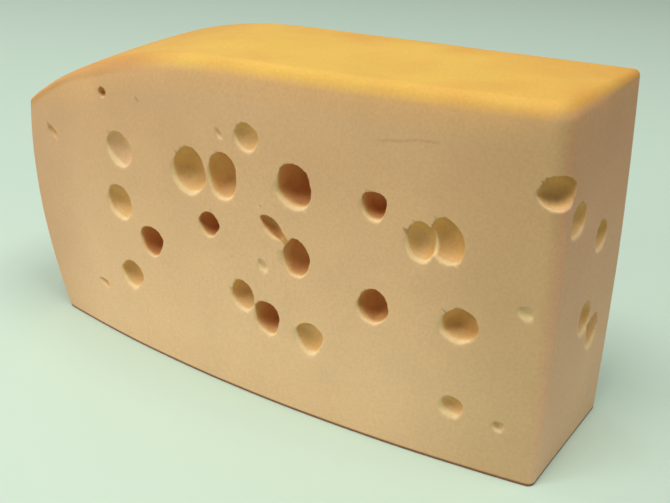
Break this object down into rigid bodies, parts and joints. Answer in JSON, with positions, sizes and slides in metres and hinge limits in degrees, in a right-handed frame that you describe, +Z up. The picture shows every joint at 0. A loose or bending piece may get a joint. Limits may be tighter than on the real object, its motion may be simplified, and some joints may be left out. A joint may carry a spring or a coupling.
{
  "type": "emmental block",
  "caption": "Tall block of holey cheese cut from a wheel, with a bowed cut face, rind on its sloping top and round end, and round eyes of mixed depth.",
  "frame": {"origin": "centre of the block's box at the surface that it stands on", "axes": "+X along the length from the rind end to the cut end, -Y out of the bowed front cut face, +Z up"},
  "size_m": [0.3184, 0.0852, 0.16],
  "materials": {
    "cheese": "satin, pale warm tan paste with an amber yellow rind on the top and the round end"
  },
  "bodies": {
    "root": {"cheese_block": "cheese"}
  },
  "joints": []
}
